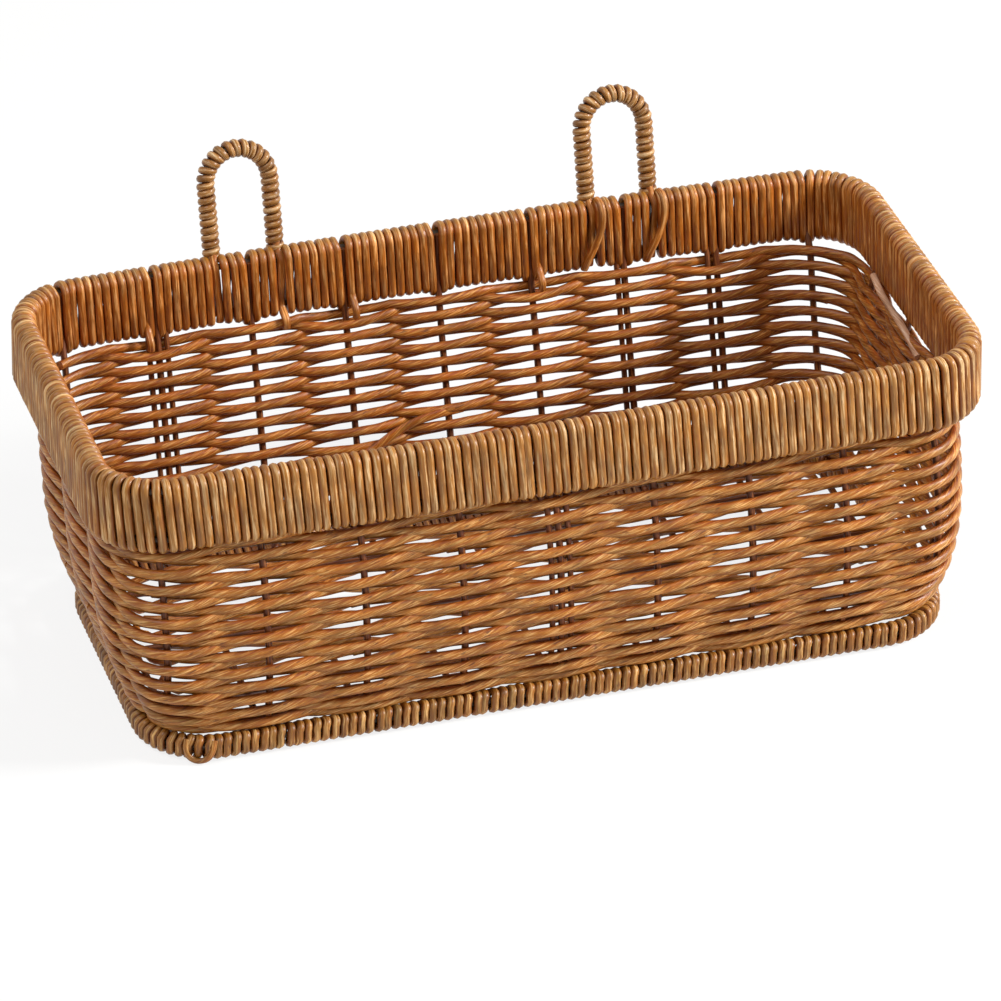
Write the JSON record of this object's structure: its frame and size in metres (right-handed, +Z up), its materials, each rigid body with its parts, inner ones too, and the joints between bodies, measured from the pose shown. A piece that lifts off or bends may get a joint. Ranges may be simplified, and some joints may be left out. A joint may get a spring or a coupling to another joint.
{
  "type": "hanging wicker basket",
  "caption": "Shallow oblong wicker basket in plain weave with a tall wrapped rim, a wrapped foot and two wire-cored hanging loops on its back edge.",
  "frame": {"origin": "on the surface that the foot stands on, under the middle of the box that the basket fills", "axes": "+X along the long side, to the right as seen from the front; +Y to the back, where the loops are; +Z up"},
  "size_m": [0.2986, 0.157, 0.1388],
  "materials": {
    "weave": "satin",
    "stakes": "satin",
    "floor": "satin",
    "rim_wrapping": "satin",
    "foot_wrapping": "satin",
    "loop_winding": "satin",
    "wire": "plain drawn wire"
  },
  "bodies": {
    "root": {"row_01_strand_a": "weave", "row_01_strand_b": "weave", "row_02_strand_a": "weave", "row_02_strand_b": "weave", "row_03_strand_a": "weave", "row_03_strand_b": "weave", "row_04_strand_a": "weave", "row_04_strand_b": "weave", "row_05_strand_a": "weave", "row_05_strand_b": "weave", "row_06_strand_a": "weave", "row_06_strand_b": "weave", "row_07_strand_a": "weave", "row_07_strand_b": "weave", "row_08_strand_a": "weave", "row_08_strand_b": "weave", "row_09_strand_a": "weave", "row_09_strand_b": "weave", "row_10_strand_a": "weave", "row_10_strand_b": "weave", "row_11_strand_a": "weave", "row_11_strand_b": "weave", "row_12_strand_a": "weave", "row_12_strand_b": "weave", "stake_cross_1": "stakes", "stake_cross_2": "stakes", "stake_cross_3": "stakes", "stake_cross_4": "stakes", "stake_cross_5": "stakes", "stake_cross_6": "stakes", "stake_cross_7": "stakes", "stake_cross_8": "stakes", "stake_cross_9": "stakes", "stake_long_1": "stakes", "stake_long_2": "stakes", "stake_long_3": "stakes", "extra_bar_front_a": "stakes", "extra_bar_front_b": "stakes", "extra_bar_back_a": "stakes", "extra_bar_back_b": "stakes", "extra_bar_back_c": "stakes", "extra_bar_back_d": "stakes", "floor_weave": "floor", "rim_wire_top": "wire", "rim_wire_lower": "wire", "foot_wire": "wire", "hook_left_core": "wire", "hook_right_core": "wire", "rim_wrap_right": "rim_wrapping", "rim_wrap_back_right": "rim_wrapping", "rim_wrap_between_right_legs": "rim_wrapping", "rim_wrap_back_middle": "rim_wrapping", "rim_wrap_between_left_legs": "rim_wrapping", "rim_wrap_back_left": "rim_wrapping", "rim_wrap_left": "rim_wrapping", "rim_wrap_front": "rim_wrapping", "foot_wrap": "foot_wrapping", "hook_left_winding": "loop_winding", "hook_right_winding": "loop_winding"}
  },
  "joints": []
}
